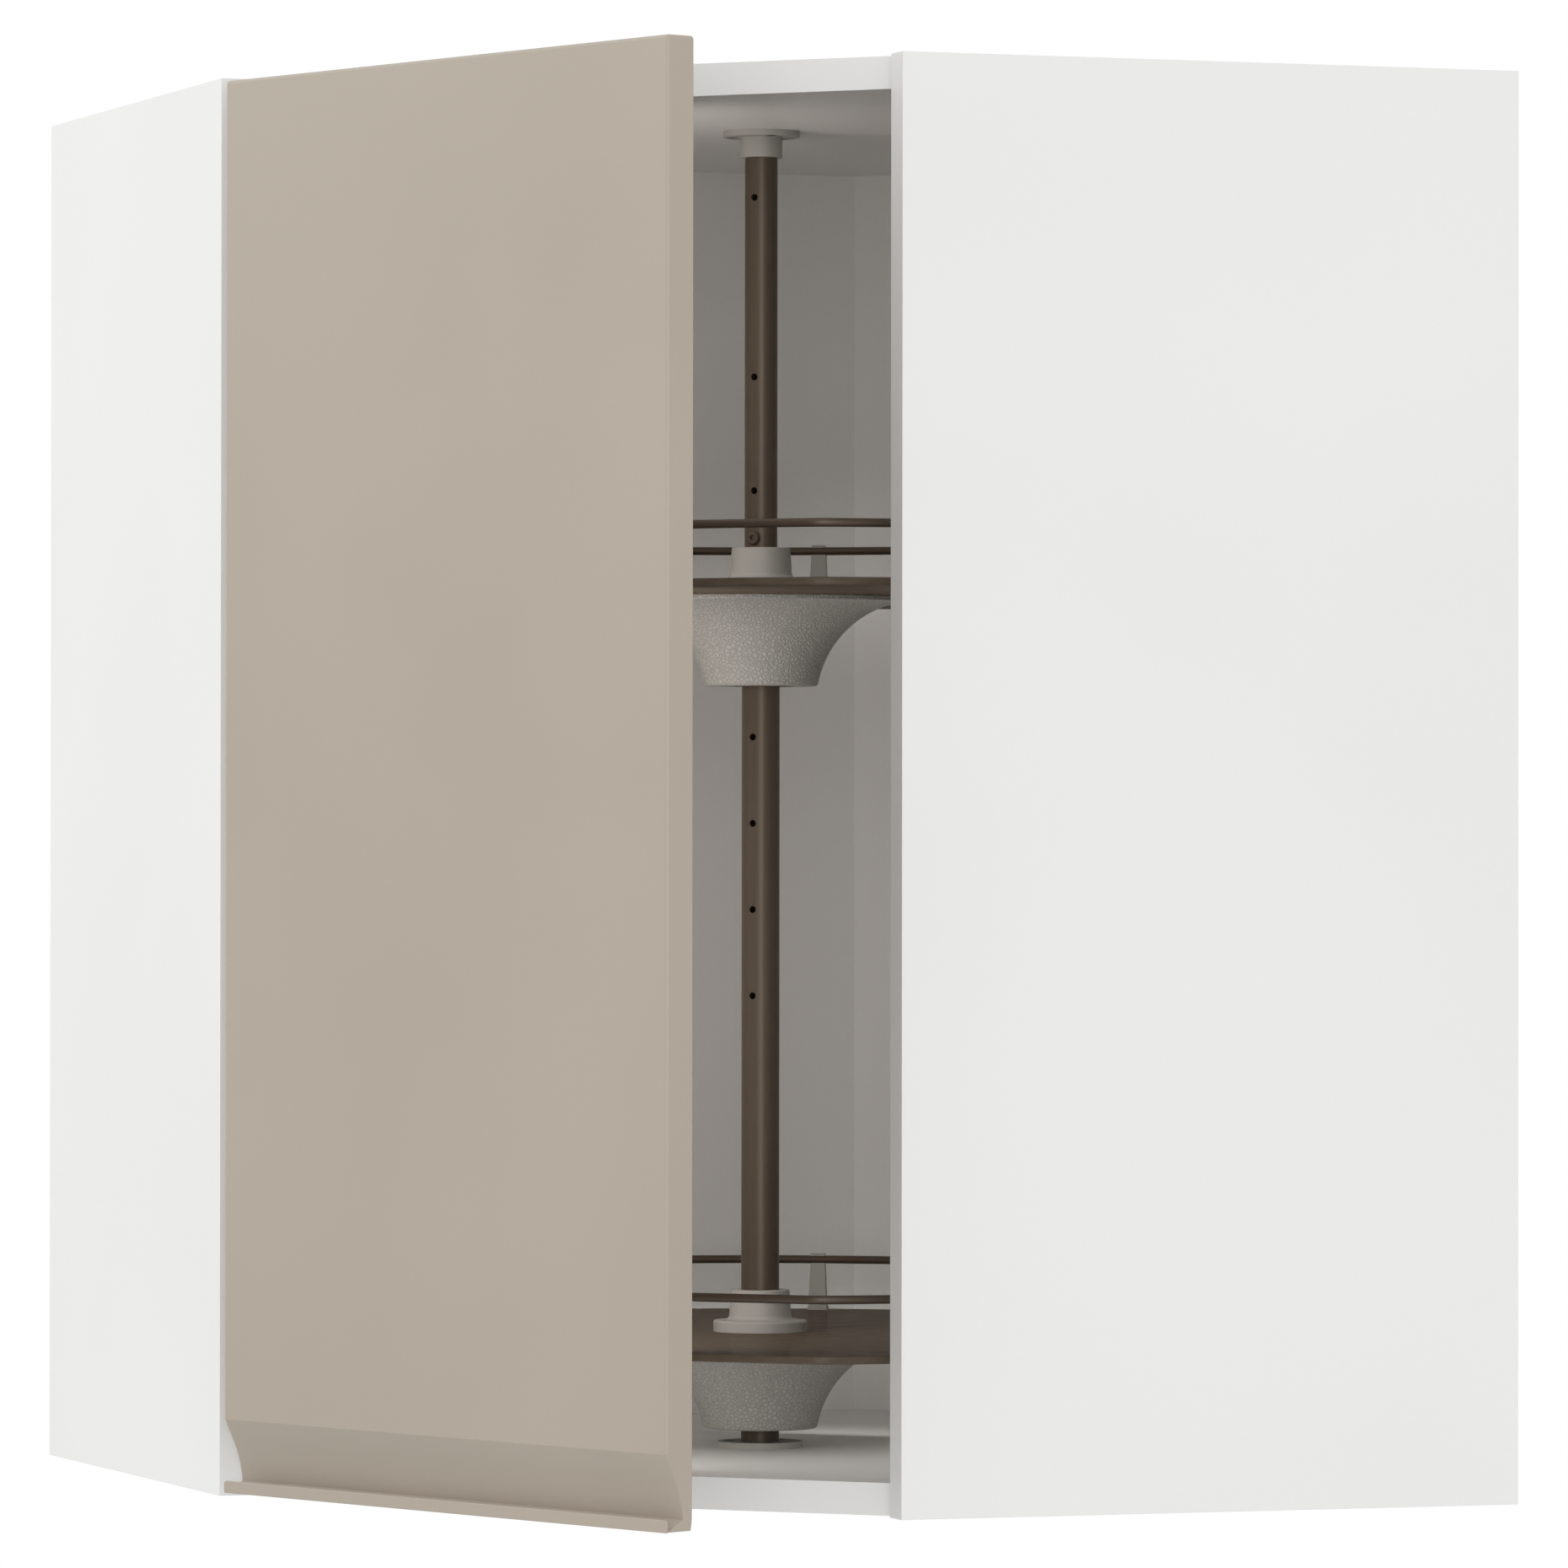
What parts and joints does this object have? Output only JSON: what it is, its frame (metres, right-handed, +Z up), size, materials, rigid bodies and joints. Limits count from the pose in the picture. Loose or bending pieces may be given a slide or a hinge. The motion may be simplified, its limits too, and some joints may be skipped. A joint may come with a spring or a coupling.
{
  "type": "corner carousel cabinet",
  "caption": "Diagonal corner wall cabinet with a hinged door, a telescopic pole and two railed trays that turn one above the other.",
  "frame": {"origin": "point where the carousel's axis meets the underside of the bottom panel", "axes": "+Z up along the pole; the back panels face +X and +Y, towards the two room walls; the door faces the diagonal between -X and -Y"},
  "size_m": [0.6691, 0.7545, 0.8],
  "materials": {
    "white_board": "satin white melamine",
    "back_board": "satin white lacquered fibreboard",
    "beige_board": "matt beige lacquer",
    "dowel_wood": "bare beech",
    "steel": "nickel plated",
    "bronze_metal": "glossy dark bronze",
    "grey_plastic": "fine leather grain",
    "white_plastic": "smooth",
    "smoke_plastic": "glossy smoky brown"
  },
  "bodies": {
    "cabinet": {"left_side_panel": "white_board", "right_side_panel": "white_board", "top_panel": "white_board", "bottom_panel": "white_board", "left_back_panel": "back_board", "right_back_panel": "back_board", "corner_back_panel": "back_board", "carcass_dowels": "dowel_wood", "cam_locks": "steel", "cam_bolts": "steel", "hanging_brackets": "steel", "hanging_bracket_screws": "steel", "hinge_plates": "steel", "hinge_plate_screws": "steel", "hinge_arms": "steel", "hinge_arm_screws": "steel", "pole_upper_tube": "bronze_metal", "pole_lower_tube": "bronze_metal", "pole_lock_screw": "bronze_metal", "pole_top_bracket": "grey_plastic", "pole_bottom_bracket": "grey_plastic", "top_bracket_screws": "steel", "bottom_bracket_screws": "steel", "upper_support_ring": "grey_plastic", "upper_support_pin": "steel", "upper_thrust_washer": "white_plastic", "lower_support_ring": "grey_plastic", "lower_support_pin": "steel", "lower_thrust_washer": "white_plastic"},
    "door": {"hinge_pins": "steel", "hinge_cups": "steel", "hinge_cup_screws": "steel", "door_panel": "beige_board"},
    "upper_carousel": {"upper_tray": "smoke_plastic", "upper_rail": "bronze_metal", "upper_rail_posts": "grey_plastic", "upper_post_screws": "steel", "upper_hub": "grey_plastic", "upper_hub_collar": "grey_plastic"},
    "lower_carousel": {"lower_tray": "smoke_plastic", "lower_rail": "bronze_metal", "lower_rail_posts": "grey_plastic", "lower_post_screws": "steel", "lower_hub": "grey_plastic", "lower_hub_collar": "grey_plastic"}
  },
  "joints": [
    {"name": "door_hinge", "type": "hinge", "parent": "cabinet", "child": "door", "pos_m": [-0.32646, -0.06197, 0.4], "axis": [0, 0, -1], "range_deg": [-24.7, 70.3]},
    {"name": "upper_tray_spin", "type": "hinge", "parent": "cabinet", "child": "upper_carousel", "pos_m": [0, 0, 0.5], "axis": [0, 0, 1], "continuous": true},
    {"name": "lower_tray_spin", "type": "hinge", "parent": "cabinet", "child": "lower_carousel", "pos_m": [0, 0, 0.08], "axis": [0, 0, 1], "continuous": true}
  ]
}
